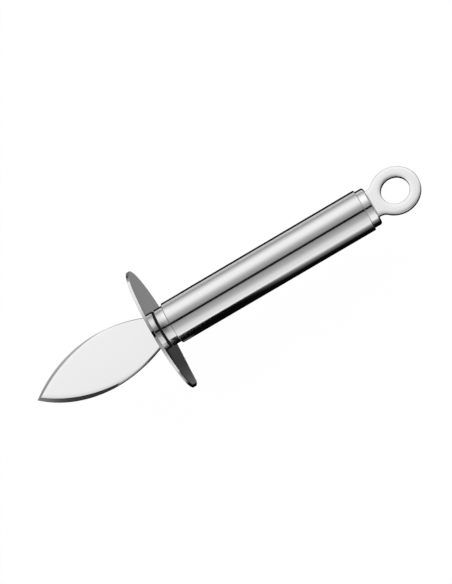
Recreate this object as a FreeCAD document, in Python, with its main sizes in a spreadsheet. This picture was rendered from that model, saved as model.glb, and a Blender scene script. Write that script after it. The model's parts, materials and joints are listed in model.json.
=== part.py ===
# Oyster knife: a leaf-shaped blade behind a round hand guard, on a tube handle with a hanging ring.
# All lengths are millimetres. The origin is the centre of the hanging hole, halfway through the ring.
# +X runs along the handle to the blade's tip, and +Z is square to the flats of blade and ring.
# Blade and ring are plates with one middle plane, which lies a little above the handle's axis.
import FreeCAD, Part
import math
import os
import Sketcher

SIZES = {
    # Hanging ring: a ring and neck cut from sheet, with a tongue that goes into the rear plug
    "ring_diameter": 22.5,
    "hanging_hole_diameter": 12.8,
    "ring_thickness": 2.0,
    "ring_edge_round": 0.25,
    "neck_width": 13.4,
    "neck_round": 4.5,
    "ring_reach": 11.7,
    "tongue_width": 10.0,
    "tongue_length": 18.0,
    # Handle tube, and how far above its axis the middle plane of blade and ring lies
    "plate_height": 1.3,
    "tube_diameter": 20.0,
    "tube_wall": 0.9,
    "tube_length": 98.25,
    "tube_edge_round": 0.45,
    # Plugs: a round head closes the tube, and a half-round spigot behind it carries a flat tail
    "rear_plug_stand_out": 3.9,
    "rear_plug_head_depth": 5.0,
    "rear_plug_round": 1.1,
    "front_plug_stand_out": 4.2,
    "front_plug_head_depth": 6.0,
    "front_plug_round": 0.35,
    "spigot_lip": 2.0,
    # Hand guard and the gasket behind it
    "gasket_thickness": 0.5,
    "gasket_inset": 0.2,
    "guard_diameter": 58.8,
    "guard_thickness": 1.4,
    "guard_rim_round": 0.15,
    # Blade: each side is an arc before and one behind the widest place. The bevel runs out a little behind
    # that place, and from there to the root the edge has only a narrow slope.
    "blade_length": 63.3,
    "blade_width": 26.8,
    "blade_root_width": 13.3,
    "blade_nose": 35.0,
    "blade_thickness": 1.8,
    "bevel_width": 1.75,
    "bevel_drop": 0.77,
    "bevel_centre_back": 5.6,
    "bevel_centre_out": 11.5,
    "edge_break_width": 0.5,
    "edge_break_drop": 0.3,
    "tang_width": 10.0,
    "tang_length": 30.0,
    # Cross pins through tang and tongue
    "pin_diameter": 3.0,
    "pin_depth": 5.0,
    "pin_spacing": 8.0,
    "pin_edge": 5.0,
    # Fits, and how far a cut runs past what it cuts
    "plug_clearance": 0.02,
    "slot_clearance": 0.05,
    "pin_clearance": 0.02,
    "overrun": 2.0,
}

GRIND_SWEEP_DEGREES = 120

# Places along X, from the hanging hole to the blade
REAR_PLUG_FACE = "sizes.ring_reach"
TUBE_REAR = f"({REAR_PLUG_FACE} + sizes.rear_plug_stand_out)"
TUBE_FRONT = f"({TUBE_REAR} + sizes.tube_length)"
FRONT_PLUG_FACE = f"({TUBE_FRONT} + sizes.front_plug_stand_out)"
GUARD_REAR = f"({FRONT_PLUG_FACE} + sizes.gasket_thickness)"
GUARD_FRONT = f"({GUARD_REAR} + sizes.guard_thickness)"

# Height of the handle's axis
AXIS_HEIGHT = "(-sizes.plate_height)"

# Round sections
TUBE_BORE = "(sizes.tube_diameter - 2 * sizes.tube_wall)"
PLUG_DIAMETER = f"({TUBE_BORE} - 2 * sizes.plug_clearance)"
FRONT_PLUG_FLAT = f"({PLUG_DIAMETER} - 2 * sizes.front_plug_round)"
GASKET_DIAMETER = f"({FRONT_PLUG_FLAT} - 2 * sizes.gasket_inset)"
PIN_HOLE_DIAMETER = "(sizes.pin_diameter + 2 * sizes.pin_clearance)"

# Lengths of the plugs, from the outer face inwards
TANG_IN_PLUG = "(sizes.tang_length - sizes.guard_thickness - sizes.gasket_thickness)"
FRONT_PLUG_HEAD = "(sizes.front_plug_stand_out + sizes.front_plug_head_depth)"
FRONT_PLUG_LENGTH = f"({TANG_IN_PLUG} + sizes.spigot_lip)"
REAR_PLUG_HEAD = "(sizes.rear_plug_stand_out + sizes.rear_plug_head_depth)"
REAR_PLUG_LENGTH = "(sizes.tongue_length + sizes.spigot_lip)"

# Pins, measured from the outer face of the plug that holds them
INNER_TANG_PIN = f"({TANG_IN_PLUG} - sizes.pin_edge)"
OUTER_TANG_PIN = f"({INNER_TANG_PIN} - sizes.pin_spacing)"
RING_PIN = "(sizes.tongue_length - sizes.pin_edge)"

# Blade outline: one arc from the tip to the widest place and one on to the root, both level there
HALF_WIDTH = "(sizes.blade_width / 2)"
HALF_ROOT = "(sizes.blade_root_width / 2)"
WIDEST_PLACE = "(sizes.blade_length - sizes.blade_nose)"
ROOT_DROP = f"({HALF_WIDTH} - {HALF_ROOT})"
FRONT_RADIUS = f"((sizes.blade_nose ^ 2 + {HALF_WIDTH} ^ 2) / sizes.blade_width)"
FRONT_CENTRE_Y = f"({HALF_WIDTH} - {FRONT_RADIUS})"
REAR_RADIUS = f"(({WIDEST_PLACE} ^ 2 + {ROOT_DROP} ^ 2) / (2 * {ROOT_DROP}))"
REAR_CENTRE_Y = f"({HALF_WIDTH} - {REAR_RADIUS})"

# Bevel: part of a cone whose axis stands behind and outside the centre of the front arc
BEVEL_CENTRE_X = f"({WIDEST_PLACE} - sizes.bevel_centre_back)"
BEVEL_CENTRE_Y = f"({FRONT_CENTRE_Y} - sizes.bevel_centre_out)"
BEVEL_CENTRE_SHIFT = "sqrt(sizes.bevel_centre_back ^ 2 + sizes.bevel_centre_out ^ 2)"
BEVEL_RADIUS = f"({FRONT_RADIUS} + {BEVEL_CENTRE_SHIFT} - sizes.bevel_width)"
BROKEN_EDGE_RADIUS = f"({REAR_RADIUS} - sizes.edge_break_width)"

# A sketch numbers its own axes, and the points of each line or arc, like this
START, END, CENTRE = range(1, 4)
X_AXIS, Y_AXIS = range(-1, -3, -1)
ORIGIN_POINT = (X_AXIS, START)
UP = FreeCAD.Vector(0, 0, 1)

doc = FreeCAD.newDocument("oyster_knife")


def make_sizes():
    """Put every driving dimension in the sheet, one named cell each."""
    sheet = doc.addObject("Spreadsheet::Sheet", "sizes")
    for row, (name, value) in enumerate(SIZES.items(), start=1):
        sheet.set(f"A{row}", name)
        sheet.set(f"B{row}", str(value))
        sheet.setAlias(f"B{row}", name)
    doc.recompute()
    return sheet


sizes = make_sizes()


def value(expression):
    """The length that an expression of named sizes gives now."""
    return float(sizes.evalExpression(expression))


def new_body(name, x="0", z="0"):
    """An empty body, set at a place along X and a height."""
    body = doc.addObject("PartDesign::Body", name)
    body.Label = name
    body.setExpression("Placement.Base.x", x)
    body.setExpression("Placement.Base.z", z)
    return body


def origin_plane(body, role):
    """One of the body's own origin planes."""
    return next(item for item in body.Origin.OriginFeatures if item.Role == role)


def new_sketch(body, role, name):
    """A sketch on one of the body's origin planes."""
    sketch = body.newObject("Sketcher::SketchObject", name)
    sketch.AttachmentSupport = [(origin_plane(body, role), "")]
    sketch.MapMode = "FlatFace"
    return sketch


def bind(sketch, kind, places, expression):
    """Add a constraint and tie its value to an expression."""
    index = sketch.addConstraint(Sketcher.Constraint(kind, *places, value(expression)))
    sketch.setExpression(f"Constraints[{index}]", expression)


def place_point(sketch, geometry, point, x, y):
    """Fix a point of the sketch by its distances from the origin."""
    bind(sketch, "DistanceX", (*ORIGIN_POINT, geometry, point), x)
    bind(sketch, "DistanceY", (*ORIGIN_POINT, geometry, point), y)


def vector(x, y):
    """The point of a sketch that two expressions give now."""
    return FreeCAD.Vector(value(x), value(y), 0)


def add_circle(sketch, diameter, x="0", y="0"):
    """A full circle of a named diameter."""
    circle = Part.Circle(vector(x, y), UP, value(diameter) / 2)
    geometry = sketch.addGeometry(circle, False)
    bind(sketch, "Diameter", (geometry,), diameter)
    place_point(sketch, geometry, CENTRE, x, y)


def add_polygon(sketch, corners):
    """A closed outline of straight lines through corners given as pairs of expressions."""
    first = sketch.GeometryCount
    for index, corner in enumerate(corners):
        following = corners[(index + 1) % len(corners)]
        sketch.addGeometry(Part.LineSegment(vector(*corner), vector(*following)), False)
    for index, corner in enumerate(corners):
        before = first + (index - 1) % len(corners)
        sketch.addConstraint(Sketcher.Constraint("Coincident", before, END, first + index, START))
        place_point(sketch, first + index, START, *corner)


def rectangle(left, right, bottom, top):
    """The four corners of a rectangle."""
    return [(left, bottom), (right, bottom), (right, top), (left, top)]


def finish_feature(body, feature):
    """Work out a feature, and make it the body's last one."""
    body.Tip = feature
    doc.recompute()
    return feature


def pad(body, sketch, length, reverse=False, both_sides=False):
    """Thicken a sketch into a solid."""
    feature = body.newObject("PartDesign::Pad", f"{sketch.Name}_pad")
    feature.Profile = sketch
    feature.SideType = "Symmetric" if both_sides else "One side"
    feature.Reversed = reverse
    feature.setExpression("Length", length)
    return finish_feature(body, feature)


def pocket(body, sketch, length=None, reverse=False, both_sides=False):
    """Cut a sketch out of the body, right through where no length is given."""
    volume_before = body.Shape.Volume
    feature = body.newObject("PartDesign::Pocket", f"{sketch.Name}_pocket")
    feature.Profile = sketch
    feature.SideType = "Symmetric" if both_sides else "One side"
    feature.Reversed = reverse
    if length is None:
        feature.Type = "ThroughAll"
    else:
        feature.setExpression("Length", length)
    finish_feature(body, feature)
    check_cut(body, feature, volume_before)
    return feature


def check_cut(body, feature, volume_before):
    """Stop if a cut took nothing away."""
    if body.Shape.Volume >= volume_before:
        raise RuntimeError(f"{feature.Name} cuts nothing from {body.Label}")


def round_edges(body, name, radius, chosen):
    """Round every edge of the body's last feature that the test picks."""
    base = body.Tip
    names = [f"Edge{index}" for index, edge in enumerate(base.Shape.Edges, start=1) if chosen(edge)]
    feature = body.newObject("PartDesign::Fillet", name)
    feature.Base = (base, names)
    feature.setExpression("Radius", radius)
    return finish_feature(body, feature)


def is_round(edge, diameter):
    """Whether an edge is a full circle of this diameter."""
    is_circle = isinstance(edge.Curve, Part.Circle) and edge.isClosed()
    return is_circle and abs(2 * edge.Curve.Radius - value(diameter)) < value("sizes.plug_clearance")


def is_upright(edge):
    """Whether an edge runs straight along Z."""
    box = edge.BoundBox
    flat = value("sizes.plug_clearance")
    return box.XLength < flat and box.YLength < flat and box.ZLength > flat


def make_handle_tube():
    """A plain round tube, with its outer edges broken."""
    body = new_body("handle_tube", TUBE_REAR, AXIS_HEIGHT)
    section = new_sketch(body, "YZ_Plane", "tube_section")
    add_circle(section, "sizes.tube_diameter")
    add_circle(section, TUBE_BORE)
    pad(body, section, "sizes.tube_length")
    round_edges(body, "tube_ends", "sizes.tube_edge_round", is_tube_edge)
    return body


def is_tube_edge(edge):
    """Whether an edge is an outer circle at an end of the tube."""
    return is_round(edge, "sizes.tube_diameter")


def seat_height(thickness):
    """Height of a tail's underside above the handle's axis."""
    return f"(sizes.plate_height - {thickness} / 2)"


def cut_slot(body, name, width, thickness, below="0", reverse=False):
    """Cut the slot for a flat tail, with some room below it or none."""
    half = f"({width} / 2 + sizes.slot_clearance)"
    bottom = f"{seat_height(thickness)} - {below}"
    top = f"{seat_height(thickness)} + {thickness} + sizes.slot_clearance"
    slot = new_sketch(body, "YZ_Plane", name)
    add_polygon(slot, rectangle(f"-{half}", half, bottom, top))
    pocket(body, slot, reverse=reverse)


def make_plug(name, face, head, length, tail, pins, outwards, edge_round):
    """A turned plug: a slotted head, then a spigot milled flat to seat the tail, with pin holes."""
    tail_width, tail_thickness = tail
    seat = seat_height(tail_thickness)
    inwards = "-1" if outwards else "1"
    body = new_body(name, face, AXIS_HEIGHT)
    section = new_sketch(body, "YZ_Plane", f"{name}_section")
    add_circle(section, PLUG_DIAMETER)
    pad(body, section, length, reverse=outwards)
    round_edges(body, f"{name}_edge", edge_round, is_outer_circle)

    flat = new_sketch(body, "XZ_Plane", f"{name}_flat")
    near_end = f"{inwards} * {head}"
    far_end = f"{inwards} * ({length} + sizes.overrun)"
    top = f"{PLUG_DIAMETER} / 2 + sizes.overrun"
    add_polygon(flat, rectangle(near_end, far_end, seat, top))
    pocket(body, flat, f"{PLUG_DIAMETER} + sizes.overrun", both_sides=True)

    cut_slot(body, f"{name}_slot", tail_width, tail_thickness, reverse=not outwards)

    holes = new_sketch(body, "XY_Plane", f"{name}_pin_holes")
    holes.setExpression("AttachmentOffset.Base.z", seat)
    for pin in pins:
        add_circle(holes, PIN_HOLE_DIAMETER, f"{inwards} * {pin}")
    pocket(body, holes, "sizes.pin_depth")
    return body


def is_outer_circle(edge):
    """Whether an edge is the plug's circle in its outer face."""
    return is_round(edge, PLUG_DIAMETER) and abs(edge.BoundBox.XMin) < value("sizes.plug_clearance")


def make_front_plug():
    """The plug that carries the blade's tang."""
    return make_plug(
        "front_plug",
        FRONT_PLUG_FACE,
        FRONT_PLUG_HEAD,
        FRONT_PLUG_LENGTH,
        ("sizes.tang_width", "sizes.blade_thickness"),
        (INNER_TANG_PIN, OUTER_TANG_PIN),
        True,
        "sizes.front_plug_round",
    )


def make_rear_plug():
    """The plug that carries the hanging ring's tongue."""
    return make_plug(
        "rear_plug",
        REAR_PLUG_FACE,
        REAR_PLUG_HEAD,
        REAR_PLUG_LENGTH,
        ("sizes.tongue_width", "sizes.ring_thickness"),
        (RING_PIN,),
        False,
        "sizes.rear_plug_round",
    )


def make_pins(name, face, places, thickness):
    """Plain pins, flush with the top of the tail that they go through."""
    body = new_body(name, face, f"{thickness} / 2")
    body.AllowCompound = True
    section = new_sketch(body, "XY_Plane", f"{name}_section")
    for place in places:
        add_circle(section, "sizes.pin_diameter", place)
    pad(body, section, f"{thickness} + sizes.pin_depth", reverse=True)
    return body


def make_disc(name, place, diameter, thickness):
    """A flat disc on the handle's axis, with the slot that the tang goes through."""
    body = new_body(name, place, AXIS_HEIGHT)
    section = new_sketch(body, "YZ_Plane", f"{name}_section")
    add_circle(section, diameter)
    pad(body, section, thickness)
    below = "sizes.slot_clearance"
    cut_slot(body, f"{name}_slot", "sizes.tang_width", "sizes.blade_thickness", below, reverse=True)
    return body


def make_guard_gasket():
    """The thin seal between front plug and guard."""
    return make_disc("guard_gasket", FRONT_PLUG_FACE, GASKET_DIAMETER, "sizes.gasket_thickness")


def make_hand_guard():
    """The round guard that keeps the hand behind the blade."""
    body = make_disc("hand_guard", GUARD_REAR, "sizes.guard_diameter", "sizes.guard_thickness")
    round_edges(body, "guard_rim", "sizes.guard_rim_round", is_guard_edge)
    return body


def is_guard_edge(edge):
    """Whether an edge is a circle at the guard's rim."""
    return is_round(edge, "sizes.guard_diameter")


def arc_between(centre, start, end):
    """The arc about a centre that turns left from one point to another."""
    circle = Part.Circle(centre, UP, (start - centre).Length)
    first, last = (math.atan2(point.y - centre.y, point.x - centre.x) for point in (start, end))
    return Part.ArcOfCircle(circle, first, last)


def add_blade_half(sketch):
    """Half of the leaf's outline: the root, two arcs, and the middle line that closes it."""
    foot = vector("0", "0")
    root = vector("0", HALF_ROOT)
    widest = vector(WIDEST_PLACE, HALF_WIDTH)
    tip = vector("sizes.blade_length", "0")
    shoulder = sketch.addGeometry(Part.LineSegment(foot, root), False)
    rear = sketch.addGeometry(arc_between(vector(WIDEST_PLACE, REAR_CENTRE_Y), widest, root), False)
    front = sketch.addGeometry(arc_between(vector(WIDEST_PLACE, FRONT_CENTRE_Y), tip, widest), False)
    middle = sketch.addGeometry(Part.LineSegment(tip, foot), False)

    joins = [
        (shoulder, END, rear, END),
        (rear, START, front, END),
        (front, START, middle, START),
        (middle, END, shoulder, START),
    ]
    for join in joins:
        sketch.addConstraint(Sketcher.Constraint("Coincident", *join))
    sketch.addConstraint(Sketcher.Constraint("Coincident", shoulder, START, *ORIGIN_POINT))
    sketch.addConstraint(Sketcher.Constraint("PointOnObject", rear, END, Y_AXIS))
    sketch.addConstraint(Sketcher.Constraint("PointOnObject", front, START, X_AXIS))
    place_point(sketch, front, END, WIDEST_PLACE, HALF_WIDTH)
    place_point(sketch, front, CENTRE, WIDEST_PLACE, FRONT_CENTRE_Y)
    place_point(sketch, rear, CENTRE, WIDEST_PLACE, REAR_CENTRE_Y)


def grind(body, name, centre_y, centre_x, radius, width, drop):
    """Grind one side's edge, above and below, to cones that stand square to the plate."""
    slope = f"({drop} / {width})"
    near = f"({radius} - sizes.overrun)"
    far = f"({radius} + {width} + sizes.overrun)"
    high = f"(sizes.blade_thickness / 2 + sizes.overrun * {slope})"
    low = f"(sizes.blade_thickness / 2 - ({width} + sizes.overrun) * {slope})"
    grooves = []
    for face, side in (("upper", "1"), ("lower", "-1")):
        volume_before = body.Shape.Volume
        profile = new_sketch(body, "YZ_Plane", f"{name}_{face}_profile")
        profile.setExpression("AttachmentOffset.Base.x", centre_y)
        profile.setExpression("AttachmentOffset.Base.z", centre_x)
        top = f"{side} * {high}"
        add_polygon(profile, [(near, top), (far, top), (far, f"{side} * {low}")])
        groove = body.newObject("PartDesign::Groove", f"{name}_{face}")
        groove.Profile = profile
        groove.ReferenceAxis = (profile, ["V_Axis"])
        groove.Midplane = True
        groove.Angle = GRIND_SWEEP_DEGREES
        grooves.append(finish_feature(body, groove))
        check_cut(body, groove, volume_before)
    return grooves


def grind_bevel(body):
    """The cutting bevel, from the tip to behind the widest place."""
    return grind(
        body,
        "bevel",
        BEVEL_CENTRE_Y,
        BEVEL_CENTRE_X,
        BEVEL_RADIUS,
        "sizes.bevel_width",
        "sizes.bevel_drop",
    )


def break_edge(body):
    """The narrow slope that takes the sharpness off the edge behind the bevel."""
    return grind(
        body,
        "broken_edge",
        REAR_CENTRE_Y,
        WIDEST_PLACE,
        BROKEN_EDGE_RADIUS,
        "sizes.edge_break_width",
        "sizes.edge_break_drop",
    )


def make_blade():
    """The leaf blade and its tang, cut from one plate and alike on both sides."""
    body = new_body("blade", GUARD_FRONT)
    outline = new_sketch(body, "XY_Plane", "blade_half")
    add_blade_half(outline)
    plate = pad(body, outline, "sizes.blade_thickness", both_sides=True)
    grooves = break_edge(body) + grind_bevel(body)

    other_half = body.newObject("PartDesign::Mirrored", "blade_other_half")
    other_half.Originals = [plate, *grooves]
    other_half.MirrorPlane = (origin_plane(body, "XZ_Plane"), [""])
    finish_feature(body, other_half)

    tang = new_sketch(body, "XY_Plane", "tang")
    half_tang = "sizes.tang_width / 2"
    add_polygon(tang, rectangle("-sizes.tang_length", "sizes.overrun", f"-{half_tang}", half_tang))
    pad(body, tang, "sizes.blade_thickness", both_sides=True)

    holes = new_sketch(body, "XY_Plane", "tang_holes")
    to_plug_face = "sizes.guard_thickness + sizes.gasket_thickness"
    for pin in (INNER_TANG_PIN, OUTER_TANG_PIN):
        add_circle(holes, PIN_HOLE_DIAMETER, f"-({to_plug_face} + {pin})")
    pocket(body, holes, "sizes.blade_thickness + sizes.overrun", both_sides=True)
    return body


def make_hanging_ring():
    """The hanging ring, its neck and its tongue, cut from one plate, with soft edges in sight."""
    body = new_body("hanging_ring")
    ring = new_sketch(body, "XY_Plane", "ring_disc")
    add_circle(ring, "sizes.ring_diameter")
    pad(body, ring, "sizes.ring_thickness", both_sides=True)

    neck = new_sketch(body, "XY_Plane", "ring_neck")
    half_neck = "sizes.neck_width / 2"
    add_polygon(neck, rectangle("0", "sizes.ring_reach", f"-{half_neck}", half_neck))
    pad(body, neck, "sizes.ring_thickness", both_sides=True)
    round_edges(body, "neck_corners", "sizes.neck_round", is_neck_corner)

    tongue = new_sketch(body, "XY_Plane", "ring_tongue")
    half_tongue = "sizes.tongue_width / 2"
    tongue_end = "sizes.ring_reach + sizes.tongue_length"
    add_polygon(tongue, rectangle("0", tongue_end, f"-{half_tongue}", half_tongue))
    pad(body, tongue, "sizes.ring_thickness", both_sides=True)

    holes = new_sketch(body, "XY_Plane", "ring_holes")
    add_circle(holes, "sizes.hanging_hole_diameter")
    add_circle(holes, PIN_HOLE_DIAMETER, f"sizes.ring_reach + {RING_PIN}")
    pocket(body, holes, "sizes.ring_thickness + sizes.overrun", both_sides=True)

    round_edges(body, "ring_edges", "sizes.ring_edge_round", is_ring_edge)
    return body


def is_neck_corner(edge):
    """Whether an edge is the inner corner between ring and neck."""
    return is_upright(edge) and edge.BoundBox.XMax < value("sizes.ring_reach - sizes.plug_clearance")


def is_ring_edge(edge):
    """Whether an edge borders a flat of the ring or of its neck, outside the plug."""
    in_a_flat = edge.BoundBox.ZLength < value("sizes.plug_clearance")
    return in_a_flat and edge.BoundBox.XMin < value("sizes.ring_reach - sizes.plug_clearance")


def make_parts():
    """Every piece of the knife, from the ring to the blade."""
    tang_pins = (f"-{INNER_TANG_PIN}", f"-{OUTER_TANG_PIN}")
    return [
        make_hanging_ring(),
        make_rear_plug(),
        make_pins("ring_pin", REAR_PLUG_FACE, (RING_PIN,), "sizes.ring_thickness"),
        make_handle_tube(),
        make_front_plug(),
        make_pins("tang_pins", FRONT_PLUG_FACE, tang_pins, "sizes.blade_thickness"),
        make_guard_gasket(),
        make_hand_guard(),
        make_blade(),
    ]


def check_document(parts):
    """Stop if anything failed to work out, or a piece is missing or broken."""
    doc.recompute()
    for item in doc.Objects:
        if "Invalid" in item.State or "Error" in item.State:
            raise RuntimeError(f"{item.Label} failed: {item.State}")
    for part in parts:
        if part.Shape.isNull() or not part.Shape.isValid():
            raise RuntimeError(f"{part.Label} has no sound shape")


def write_parts(parts):
    """Write each piece to a file of its own name."""
    os.makedirs("parts", exist_ok=True)
    for part in parts:
        part.Shape.exportStep(f"parts/{part.Label}.step")
        print(f"{part.Label}: {len(part.Shape.Solids)} solid(s), {part.Shape.Volume:.1f} cubic mm")


parts = make_parts()
check_document(parts)
write_parts(parts)
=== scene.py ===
# Oyster knife: steel finishes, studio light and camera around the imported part.
# Lengths are metres in the part's frame: +X to the blade's tip, +Z square to the flats of blade and ring.
import json
import math
import bpy
from mathutils import Matrix, Vector


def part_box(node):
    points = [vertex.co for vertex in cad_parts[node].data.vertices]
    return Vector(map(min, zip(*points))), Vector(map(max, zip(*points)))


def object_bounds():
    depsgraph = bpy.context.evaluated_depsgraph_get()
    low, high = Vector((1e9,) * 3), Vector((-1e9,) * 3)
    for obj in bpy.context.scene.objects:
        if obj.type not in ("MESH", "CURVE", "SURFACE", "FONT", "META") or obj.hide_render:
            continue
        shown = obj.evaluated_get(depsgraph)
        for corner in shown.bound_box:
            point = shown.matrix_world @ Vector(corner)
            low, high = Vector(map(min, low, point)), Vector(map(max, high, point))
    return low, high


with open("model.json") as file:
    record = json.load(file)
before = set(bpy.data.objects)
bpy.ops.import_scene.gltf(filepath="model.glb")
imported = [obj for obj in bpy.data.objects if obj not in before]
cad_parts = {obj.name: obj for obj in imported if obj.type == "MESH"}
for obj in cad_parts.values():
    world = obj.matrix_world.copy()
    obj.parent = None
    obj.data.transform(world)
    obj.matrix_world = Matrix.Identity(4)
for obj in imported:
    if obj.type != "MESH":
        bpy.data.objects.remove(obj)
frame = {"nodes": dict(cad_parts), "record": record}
cad_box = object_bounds()

MM = 0.001
WHITE = (1.0, 1.0, 1.0, 1.0)

# Camera: it stands beside the handle's axis, leans over from +Z towards +Y, and aims close to the axis
CAMERA_DISTANCE = 620 * MM
CAMERA_FOOT = 36 * MM
CAMERA_LEAN = math.radians(23.5)
AIM_ALONG = 86.22 * MM
AIM_ACROSS = 0.2 * MM
PICTURE_HEIGHT = 257.5 * MM
HANDLE_TURN = math.radians(210.4)
CLIP_START = 10 * MM

# Colour ramps hold strengths as shares of this one
BRIGHTEST = 2.0

# Studio light in strips along the handle: angle from +Z towards +Y in degrees, and strength.
# The narrow black gap is where the camera stands between two of the strips.
LIGHT_STRIPS = (
    (-90, 0.34),
    (-77, 0.43),
    (-62, 0.78),
    (-50, 1.03),
    (-38, 1.07),
    (-25, 1.01),
    (-14, 0.76),
    (-4, 0.51),
    (6, 0.395),
    (16.5, 0.32),
    (17.4, 0.0),
    (27.9, 0.0),
    (28.8, 0.33),
    (41, 0.42),
    (52, 0.49),
    (62, 0.65),
    (72, 0.84),
    (90, 0.91),
)

# The strips slant a little to the handle: share of X in the direction, and degrees added to the angle
SLANT_SPAN = (-0.10, 0.15)
SLANT = (2.1, -1.4)

# The strips fade before and behind the knife: share of X in the direction, and what is left of the light
LIGHT_ENDS = (
    (-0.95, 0.55),
    (-0.82, 0.20),
    (-0.70, 0.28),
    (-0.55, 0.73),
    (-0.35, 1.00),
    (0.30, 1.00),
    (0.45, 0.78),
    (0.56, 0.45),
    (0.64, 0.62),
    (0.80, 0.80),
    (0.95, 0.80),
)

# The gap is wider for light that reaches the handle by way of the guard: angle, and what is left of the
# light. The shares say how far this counts, for each share of X in the direction.
WIDE_GAP = (
    (-10, 1.0),
    (0, 0.45),
    (14, 0.0),
    (38, 0.0),
    (48, 0.45),
    (60, 1.0),
)
WIDE_GAP_SHARES = (
    (-0.24, 0.0),
    (-0.21, 1.0),
    (-0.14, 1.0),
    (-0.10, 0.0),
)

# White floor: its span, the paper's tone, and the glow that camera and mirrors see with its share
FLOOR_SPAN = 12.0
FLOOR_PAPER = 0.85
FLOOR_GLOW = 1.03
FLOOR_GLOW_SHARE = 0.95

# A long glowing board on the floor that only reflections see, a painted reflection: its dark zones are
# painted shade below the knife, which the steel shows as its black lines, and its pale zones are painted
# light. Its zones hold places across the handle in millimetres, and strengths. Where a zone starts or fades
# is told by the place along the handle, in millimetres, whose mirrored view ends there. That view drifts
# along the handle with each step across.
BOARD_LIFT = 0.2 * MM
LONG_BOARD_LAYER = 1
LONG_BOARD_LENGTH = (-200 * MM, 400 * MM)
LONG_BOARD_WIDTH = (-800 * MM, 340 * MM)
MIRROR_DRIFT = 0.133
RING_ZONE = (
    (-800, 0.42),
    (-300, 0.52),
    (-140, 0.76),
    (-122, 0.76),
    (-106, 0.01),
    (38, 0.002),
    (46, 0.052),
    (59, 0.138),
    (78, 0.220),
    (109, 0.47),
    (168, 0.86),
    (340, 0.92),
)
TUBE_ZONE = (
    (-800, 0.42),
    (-300, 0.52),
    (-140, 0.76),
    (-122, 0.76),
    (-106, 0.01),
    (38, 0.002),
    (153, 0.002),
    (161, 0.92),
    (340, 0.97),
)
RING_ZONE_SHARES = (
    (12, 1.0),
    (33, 0.92),
    (46, 0.74),
    (53, 0.62),
    (59, 0.33),
    (66, 0.08),
    (74, 0.0),
)
RIM_ZONE_START = 117.3
RIM_ZONE = (
    (-800, 0.90),
    (-520, 0.57),
    (-300, 0.35),
    (-187, 0.24),
    (-165, 0.02),
    (-110, 0.02),
    (-95, 0.25),
    (-20, 0.10),
    (10, 0.004),
    (48, 0.004),
    (65, 0.60),
    (120, 0.88),
    (340, 0.94),
)
BLADE_ZONE_START = 120.8
BLADE_ZONE = (
    (-6, 0.90),
    (4, 0.01),
    (48, 0.01),
    (60, 0.90),
)

# What the plug's image in the guard shows of the long board, a painted reflection that only light on this
# path sees. Its light is on its second bounce, has come at least as far as from the handle, and meets the
# board behind the guard.
SECOND_BOUNCE = 2
BOUNCE_TOLERANCE = 0.5
HANDLE_REACH = 10 * MM
IMAGE_END = 117.0
IMAGE_ZONE = (
    (-118, 0.66),
    (-100, 0.02),
    (20, 0.02),
    (30, 0.14),
    (40, 0.38),
    (55, 0.85),
    (75, 1.15),
    (180, 1.20),
)

# Smaller boards behind the guard, in its own mirror: painted reflections, with painted shade in the far and
# near boards and a painted highlight in the pale foot board. The foot is seen from close by only.
GUARD_BOARD_LAYER = 2
FAR_BOARD = (
    (-48, 0.262),
    (-21, 0.262),
)
FAR_BOARD_DEPTH = 9.5 * MM
NEAR_BOARD = (
    (-20, 0.058),
    (8, 0.052),
    (13, 0.078),
    (19, 0.13),
)
NEAR_BOARD_DEPTH = 6.8 * MM
FOOT_BOARD = (
    (-3, 1.4),
    (27, 1.4),
)
FOOT_BOARD_DEPTH = 1.40 * MM
FOOT_BOARD_REACH = 15 * MM

# A bright card that stands beside the guard and that only reflections see, for a painted highlight on its
# rim
RIM_CARD_LENGTH = (123 * MM, 131 * MM)
RIM_CARD_SIDE = -60 * MM
RIM_CARD_HEIGHT = (20 * MM, 92 * MM)
RIM_CARD_STRENGTH = 1.15

# The way round a sheet's corners, which are listed one side after the other
SHEET_FACE = (0, 2, 3, 1)

# Finishes. The turned pieces are brushed round the axis, which draws their gleams out along it.
TUBE_TINT = 0.82
FRONT_PLUG_TINT = 0.87
REAR_PLUG_TINT = 0.93
TURNED_ROUGHNESS = 0.14
TURNED_ANISOTROPY = 0.85
QUARTER_TURN = 0.25
BLADE_TINT = 0.865
RING_TINT = 0.86
SATIN_ROUGHNESS = 0.16
GUARD_TINT = 0.70
POLISHED_ROUGHNESS = 0.07
PIN_TINT = 0.75
PIN_ROUGHNESS = 0.3
GASKET_TINT = 0.016
GASKET_ROUGHNESS = 0.6

# Fine brush lines and the gasket's grain: how many to the metre, and the least and greatest shares
# of tint and roughness that they leave. The noise behind them lies mostly inside its span.
NOISE_SPAN = (0.3, 0.7)
LINE_DENSITY = 9000.0
LINE_STRETCH_SHARE = 0.02
LINE_TINT_SHARES = (0.97, 1.02)
LINE_ROUGHNESS_SHARES = (0.9, 1.1)
GRAIN_DENSITY = 900.0
GRAIN_TINT_SHARES = (0.625, 1.375)

# Flat faces fall off softly towards the edges that are in sight, with a power of the way to the edge.
# Reliefs are heights in metres and are shown in full.
FULL_RELIEF = 1.0
CROWN_WIDTH = 2.4 * MM
CROWN_POWER = 3.0
RING_CROWN_DROP = 0.24 * MM
NECK_HALF_WIDTH = 6.7 * MM
NECK_BLEND = 3.0 * MM
BLADE_CROWN_DROP = 0.08 * MM

# The bevel's inner line is an arc on either side of the blade: centre for the +Y side, and radius
BEVEL_CENTRE = (142.65 * MM, -50.51 * MM)
BEVEL_RADIUS = 63.45 * MM


def grey(level):
    """A neutral colour."""
    return (level, level, level, 1.0)


def empty_tree(owner):
    """The emptied node tree of a material or world."""
    owner.use_nodes = True
    owner.node_tree.nodes.clear()
    return owner.node_tree


def add_node(tree, kind, **settings):
    """A node with some of its settings."""
    node = tree.nodes.new(kind)
    for name, value in settings.items():
        setattr(node, name, value)
    return node


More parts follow.
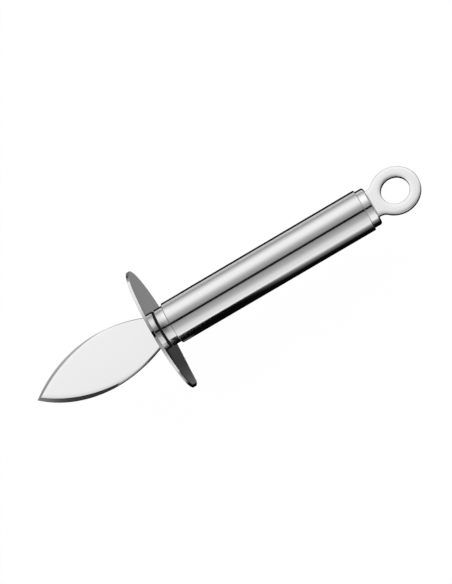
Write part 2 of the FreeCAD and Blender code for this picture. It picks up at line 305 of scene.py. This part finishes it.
def feed(tree, socket, value):
    """Link a socket to another, or set it to a plain value."""
    if isinstance(value, bpy.types.NodeSocket):
        tree.links.new(value, socket)
    else:
        socket.default_value = value


def calculate(tree, operation, *values):
    """The result of a sum with sockets or numbers."""
    node = add_node(tree, "ShaderNodeMath", operation=operation)
    for socket, value in zip(node.inputs, values):
        feed(tree, socket, value)
    return node.outputs["Value"]


def coordinates(tree, kind):
    """X, Y and Z of a texture coordinate."""
    split = add_node(tree, "ShaderNodeSeparateXYZ")
    feed(tree, split.inputs["Vector"], add_node(tree, "ShaderNodeTexCoord").outputs[kind])
    return [split.outputs[axis] for axis in "XYZ"]


def carry(tree, value, source, target=(0.0, 1.0)):
    """A value carried over from one range to another and kept inside it."""
    node = add_node(tree, "ShaderNodeMapRange")
    feed(tree, node.inputs["Value"], value)
    feed(tree, node.inputs["From Min"], source[0])
    feed(tree, node.inputs["From Max"], source[1])
    feed(tree, node.inputs["To Min"], target[0])
    feed(tree, node.inputs["To Max"], target[1])
    return node.outputs["Result"]


def ramp(tree, value, stops):
    """A grey scale through stops of value and strength."""
    low, high = stops[0][0], stops[-1][0]
    scale = add_node(tree, "ShaderNodeValToRGB")
    elements = scale.color_ramp.elements
    while len(elements) < len(stops):
        elements.new(1.0)
    for element, (place, strength) in zip(elements, stops):
        element.position = (place - low) / (high - low)
        element.color = grey(strength / BRIGHTEST)
    feed(tree, scale.inputs["Fac"], carry(tree, value, (low, high)))
    return calculate(tree, "MULTIPLY", scale.outputs["Color"], BRIGHTEST)


def blend(tree, share, first, second):
    """A value between two others."""
    mix = add_node(tree, "ShaderNodeMix")
    feed(tree, mix.inputs["Factor"], share)
    feed(tree, mix.inputs["A"], first)
    feed(tree, mix.inputs["B"], second)
    return mix.outputs["Result"]


def mix_shaders(tree, factor, first, second):
    """A blend of two shaders."""
    mix = add_node(tree, "ShaderNodeMixShader")
    feed(tree, mix.inputs["Fac"], factor)
    feed(tree, mix.inputs[1], first)
    feed(tree, mix.inputs[2], second)
    return mix.outputs["Shader"]


def emission(tree, strength):
    """A white glow."""
    glow = add_node(tree, "ShaderNodeEmission")
    feed(tree, glow.inputs["Color"], WHITE)
    feed(tree, glow.inputs["Strength"], strength)
    return glow.outputs["Emission"]


def background(tree, strength):
    """White light from all round."""
    light = add_node(tree, "ShaderNodeBackground")
    feed(tree, light.inputs["Color"], WHITE)
    feed(tree, light.inputs["Strength"], strength)
    return light.outputs["Background"]


def new_material(name):
    """A material and its empty tree."""
    material = bpy.data.materials.new(name)
    return material, empty_tree(material)


def set_surface(tree, shader):
    """Make a shader the material's surface."""
    output = add_node(tree, "ShaderNodeOutputMaterial")
    feed(tree, output.inputs["Surface"], shader)


def light_strength(tree):
    """Strength of the studio light by direction."""
    x, y, z = coordinates(tree, "Generated")
    angle = calculate(tree, "DEGREES", calculate(tree, "ARCTAN2", y, z))
    slanted = calculate(tree, "ADD", angle, carry(tree, x, SLANT_SPAN, SLANT))
    strength = calculate(tree, "MULTIPLY", ramp(tree, slanted, LIGHT_STRIPS), ramp(tree, x, LIGHT_ENDS))
    gap = blend(tree, ramp(tree, x, WIDE_GAP_SHARES), 1.0, ramp(tree, angle, WIDE_GAP))
    return calculate(tree, "MULTIPLY", strength, gap)


def make_world():
    """Strips of soft light along the handle, and a white background for the camera."""
    world = bpy.data.worlds.new("studio")
    bpy.context.scene.world = world
    tree = empty_tree(world)
    seen = add_node(tree, "ShaderNodeLightPath").outputs["Is Camera Ray"]
    surface = mix_shaders(tree, seen, background(tree, light_strength(tree)), background(tree, 1.0))
    output = add_node(tree, "ShaderNodeOutputWorld")
    feed(tree, output.inputs["Surface"], surface)


def add_sheet(name, corners, material):
    """A four-cornered sheet of the stage."""
    mesh = bpy.data.meshes.new(name)
    mesh.from_pydata(corners, [], [SHEET_FACE])
    mesh.materials.append(material)
    sheet = bpy.data.objects.new(name, mesh)
    bpy.context.scene.collection.objects.link(sheet)
    return sheet


def level_corners(x_range, y_range, height):
    """Corners of a level rectangle."""
    return [(x, y, height) for x in x_range for y in y_range]


def floor_material():
    """White paper that keeps a faint shadow."""
    material, tree = new_material("floor_paper")
    paper = add_node(tree, "ShaderNodeBsdfDiffuse")
    feed(tree, paper.inputs["Color"], grey(FLOOR_PAPER))
    path = add_node(tree, "ShaderNodeLightPath")
    seen = calculate(tree, "MAXIMUM", path.outputs["Is Camera Ray"], path.outputs["Is Glossy Ray"])
    seen = calculate(tree, "MAXIMUM", seen, path.outputs["Is Transmission Ray"])
    share = calculate(tree, "MULTIPLY", seen, FLOOR_GLOW_SHARE)
    set_surface(tree, mix_shaders(tree, share, paper.outputs["BSDF"], emission(tree, FLOOR_GLOW)))
    return material


def make_floor():
    """A pale floor under the guard's lowest point."""
    span = (-FLOOR_SPAN / 2, FLOOR_SPAN / 2)
    add_sheet("floor", level_corners(span, span, cad_box[0].z), floor_material())


def add_reflector(name, corners, material):
    """A sheet that shows in reflections and nowhere else."""
    sheet = add_sheet(name, corners, material)
    sheet.visible_camera = False
    sheet.visible_diffuse = False
    sheet.visible_shadow = False
    sheet.visible_transmission = False


def add_board(name, x_range, y_range, layer, material):
    """A reflector on the floor."""
    height = cad_box[0].z + layer * BOARD_LIFT
    add_reflector(name, level_corners(x_range, y_range, height), material)


def zone_strength(tree, across, along):
    """Strength of the long board's zones of painted shade and light: ring end, guard end, guard rim and
    blade.
    """
    share = ramp(tree, along, RING_ZONE_SHARES)
    strength = blend(tree, share, ramp(tree, across, TUBE_ZONE), ramp(tree, across, RING_ZONE))
    for start, stops in ((RIM_ZONE_START, RIM_ZONE), (BLADE_ZONE_START, BLADE_ZONE)):
        inside = calculate(tree, "GREATER_THAN", along, start)
        strength = blend(tree, inside, strength, ramp(tree, across, stops))
    return strength


def in_plug_image(tree, y, along):
    """One for light from the plug's image in the guard, which gets a painted reflection of its own, and
    nothing for all other light.
    """
    path = add_node(tree, "ShaderNodeLightPath")
    second = calculate(tree, "COMPARE", path.outputs["Ray Depth"], SECOND_BOUNCE, BOUNCE_TOLERANCE)
    to_handle = calculate(tree, "SUBTRACT", y, HANDLE_REACH)
    from_handle = calculate(tree, "GREATER_THAN", path.outputs["Ray Length"], to_handle)
    behind_guard = calculate(tree, "LESS_THAN", along, IMAGE_END)
    return calculate(tree, "MULTIPLY", second, calculate(tree, "MULTIPLY", from_handle, behind_guard))


def long_board_material():
    """The long board's zones of painted shade and light, and the painted reflection that the plug's image
    in the guard shows of it.
    """
    material, tree = new_material("painted_reflection_board")
    x, y, _ = coordinates(tree, "Object")
    across = calculate(tree, "DIVIDE", y, MM)
    along = calculate(tree, "DIVIDE", x, MM)
    drift = calculate(tree, "MULTIPLY", calculate(tree, "ABSOLUTE", across), MIRROR_DRIFT)
    strength = zone_strength(tree, across, calculate(tree, "SUBTRACT", along, drift))
    in_image = in_plug_image(tree, y, calculate(tree, "ADD", along, drift))
    strength = blend(tree, in_image, strength, ramp(tree, across, IMAGE_ZONE))
    set_surface(tree, emission(tree, strength))
    return material


def guard_board_material(name, stops, reach):
    """A board of painted reflection that is dark from further off than its reach and after the first
    bounce.
    """
    material, tree = new_material(name)
    _, y, _ = coordinates(tree, "Object")
    strength = ramp(tree, calculate(tree, "DIVIDE", y, MM), stops)
    path = add_node(tree, "ShaderNodeLightPath")
    near = calculate(tree, "LESS_THAN", path.outputs["Ray Length"], reach)
    direct = calculate(tree, "LESS_THAN", path.outputs["Ray Depth"], SECOND_BOUNCE)
    strength = calculate(tree, "MULTIPLY", strength, calculate(tree, "MULTIPLY", near, direct))
    set_surface(tree, emission(tree, strength))
    return material


def add_guard_board(name, x_range, stops, reach=FLOOR_SPAN):
    """A small board of painted reflection in front of the guard's mirror."""
    y_range = (stops[0][0] * MM, stops[-1][0] * MM)
    add_board(name, x_range, y_range, GUARD_BOARD_LAYER, guard_board_material(name, stops, reach))


def make_boards():
    """Dark boards below the knife whose painted shade the steel mirrors as its black lines, and a pale one
    at the guard's foot for a painted highlight.
    """
    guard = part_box("hand_guard")[0].x
    foot = guard - FOOT_BOARD_DEPTH
    add_board("painted_reflection_board", LONG_BOARD_LENGTH, LONG_BOARD_WIDTH, LONG_BOARD_LAYER, long_board_material())
    add_guard_board("far_painted_shade_board", (guard - FAR_BOARD_DEPTH, guard), FAR_BOARD)
    add_guard_board("near_painted_shade_board", (guard - NEAR_BOARD_DEPTH, foot), NEAR_BOARD)
    add_guard_board("foot_painted_highlight_board", (foot, guard), FOOT_BOARD, FOOT_BOARD_REACH)


def make_rim_card():
    """The upright card beside the guard, a painted highlight in the rim's reflections."""
    material, tree = new_material("rim_painted_highlight_card")
    set_surface(tree, emission(tree, RIM_CARD_STRENGTH))
    corners = [(x, RIM_CARD_SIDE, z) for x in RIM_CARD_LENGTH for z in RIM_CARD_HEIGHT]
    add_reflector("rim_painted_highlight_card", corners, material)


def vary(tree, noise, level, shares):
    """A level that follows a noise from its least to its greatest share."""
    return ramp(tree, noise, [(place, level * share) for place, share in zip(NOISE_SPAN, shares)])


def brush_lines(tree):
    """A noise drawn out across X, for fine lines that run round the handle and across the flats."""
    mapping = add_node(tree, "ShaderNodeMapping")
    feed(tree, mapping.inputs["Vector"], add_node(tree, "ShaderNodeTexCoord").outputs["Object"])
    feed(tree, mapping.inputs["Scale"], (1.0, LINE_STRETCH_SHARE, LINE_STRETCH_SHARE))
    noise = add_node(tree, "ShaderNodeTexNoise")
    feed(tree, noise.inputs["Vector"], mapping.outputs["Vector"])
    feed(tree, noise.inputs["Scale"], LINE_DENSITY)
    return noise.outputs["Fac"]


def draw_out(tree, shader, anisotropy):
    """Draw the gleams out along the handle, as brushing round it does."""
    tangent = add_node(tree, "ShaderNodeTangent", direction_type="RADIAL", axis="X")
    feed(tree, shader.inputs["Tangent"], tangent.outputs["Tangent"])
    feed(tree, shader.inputs["Anisotropic"], anisotropy)
    feed(tree, shader.inputs["Anisotropic Rotation"], QUARTER_TURN)


def add_relief(tree, shader, height):
    """Shade a surface as if it had some height."""
    bump = add_node(tree, "ShaderNodeBump")
    feed(tree, bump.inputs["Height"], height)
    feed(tree, bump.inputs["Distance"], FULL_RELIEF)
    feed(tree, shader.inputs["Normal"], bump.outputs["Normal"])


def steel(name, tint, roughness, anisotropy=0.0, relief=None):
    """Stainless steel with fine brush lines, and a relief where one is given."""
    material, tree = new_material(name)
    shader = add_node(tree, "ShaderNodeBsdfPrincipled")
    lines = brush_lines(tree)
    feed(tree, shader.inputs["Base Color"], vary(tree, lines, tint, LINE_TINT_SHARES))
    feed(tree, shader.inputs["Roughness"], vary(tree, lines, roughness, LINE_ROUGHNESS_SHARES))
    feed(tree, shader.inputs["Metallic"], 1.0)
    if anisotropy:
        draw_out(tree, shader, anisotropy)
    if relief:
        add_relief(tree, shader, relief(tree))
    set_surface(tree, shader.outputs["BSDF"])
    return material


def turned_steel(name, tint):
    """Steel of a piece that was brushed while it turned."""
    return steel(name, tint, TURNED_ROUGHNESS, anisotropy=TURNED_ANISOTROPY)


def near_black_gasket():
    """The gasket's near-black, faintly grainy surface."""
    material, tree = new_material("gasket_rubber")
    shader = add_node(tree, "ShaderNodeBsdfPrincipled")
    grain = add_node(tree, "ShaderNodeTexNoise")
    feed(tree, grain.inputs["Scale"], GRAIN_DENSITY)
    tint = vary(tree, grain.outputs["Fac"], GASKET_TINT, GRAIN_TINT_SHARES)
    feed(tree, shader.inputs["Base Color"], tint)
    feed(tree, shader.inputs["Roughness"], GASKET_ROUGHNESS)
    set_surface(tree, shader.outputs["BSDF"])
    return material


def distance_from(tree, x, y, centre):
    """Distance of a place from a centre."""
    along = calculate(tree, "SUBTRACT", x, centre[0])
    across = calculate(tree, "SUBTRACT", y, centre[1])
    squares = calculate(tree, "MULTIPLY_ADD", along, along, calculate(tree, "MULTIPLY", across, across))
    return calculate(tree, "SQRT", squares)


def crown(tree, to_edge, drop):
    """Height of a face that is level inside and falls by some drop at its edge."""
    share = carry(tree, to_edge, (CROWN_WIDTH, 0.0))
    return calculate(tree, "MULTIPLY", calculate(tree, "POWER", share, CROWN_POWER), -drop)


def ring_crown(tree):
    """The hanging ring's faces fall towards the hole, the rim and the neck's sides."""
    x, y, _ = coordinates(tree, "Object")
    radius = distance_from(tree, x, y, (0.0, 0.0))
    hole_radius = frame["record"]["mounts"][0]["dims"]["r_mm"] * MM
    rim_radius = -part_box("hanging_ring")[0].x
    to_hole = calculate(tree, "SUBTRACT", radius, hole_radius)
    to_rim = calculate(tree, "SUBTRACT", rim_radius, radius)
    to_side = calculate(tree, "SUBTRACT", NECK_HALF_WIDTH, calculate(tree, "ABSOLUTE", y))
    to_side = calculate(tree, "MINIMUM", to_side, x)
    to_outline = calculate(tree, "SMOOTH_MAX", to_rim, to_side, NECK_BLEND)
    to_edge = calculate(tree, "MINIMUM", to_hole, to_outline)
    return crown(tree, to_edge, RING_CROWN_DROP)


def blade_crown(tree):
    """The blade's faces fall towards the bevels."""
    x, y, _ = coordinates(tree, "Object")
    radius = distance_from(tree, x, calculate(tree, "ABSOLUTE", y), BEVEL_CENTRE)
    return crown(tree, calculate(tree, "SUBTRACT", BEVEL_RADIUS, radius), BLADE_CROWN_DROP)


def dress(node, material):
    """Give a CAD node its finished material."""
    frame["nodes"][node].material_slots[0].material = material


def dress_all():
    """Every piece's finish."""
    pins = steel("pin_steel", PIN_TINT, PIN_ROUGHNESS)
    dress("handle_tube", turned_steel("turned_steel", TUBE_TINT))
    dress("front_plug", turned_steel("front_plug_steel", FRONT_PLUG_TINT))
    dress("rear_plug", turned_steel("rear_plug_steel", REAR_PLUG_TINT))
    dress("hand_guard", steel("polished_steel", GUARD_TINT, POLISHED_ROUGHNESS))
    dress("blade", steel("blade_steel", BLADE_TINT, SATIN_ROUGHNESS, relief=blade_crown))
    dress("hanging_ring", steel("ring_steel", RING_TINT, SATIN_ROUGHNESS, relief=ring_crown))
    dress("guard_gasket", near_black_gasket())
    dress("tang_pins", pins)
    dress("ring_pin", pins)


def camera_turn(back):
    """Rotation of a camera that looks against a direction, with the handle turned in the picture."""
    along = Vector((1, 0, 0))
    along = (along - back * along.dot(back)).normalized()
    over = back.cross(along)
    right = along * math.cos(HANDLE_TURN) - over * math.sin(HANDLE_TURN)
    up = along * math.sin(HANDLE_TURN) + over * math.cos(HANDLE_TURN)
    return Matrix((right, up, back)).transposed().to_4x4()


def make_camera():
    """The photograph's view, from beside the axis."""
    low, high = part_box("handle_tube")
    axis = (low.z + high.z) / 2
    across = Vector((0, math.cos(CAMERA_LEAN), -math.sin(CAMERA_LEAN)))
    towards = Vector((0, math.sin(CAMERA_LEAN), math.cos(CAMERA_LEAN)))
    place = Vector((CAMERA_FOOT, 0, axis)) + towards * CAMERA_DISTANCE
    target = Vector((AIM_ALONG, 0, axis)) + across * AIM_ACROSS
    view = place - target

    lens = bpy.data.cameras.new("camera")
    lens.lens = lens.sensor_width * view.length / PICTURE_HEIGHT
    lens.clip_start = CLIP_START
    camera = bpy.data.objects.new("camera", lens)
    camera.matrix_world = Matrix.Translation(place) @ camera_turn(view.normalized())
    bpy.context.scene.collection.objects.link(camera)
    bpy.context.scene.camera = camera


bpy.context.scene.view_settings.view_transform = "Standard"
make_world()
make_floor()
make_boards()
make_rim_card()
dress_all()
make_camera()
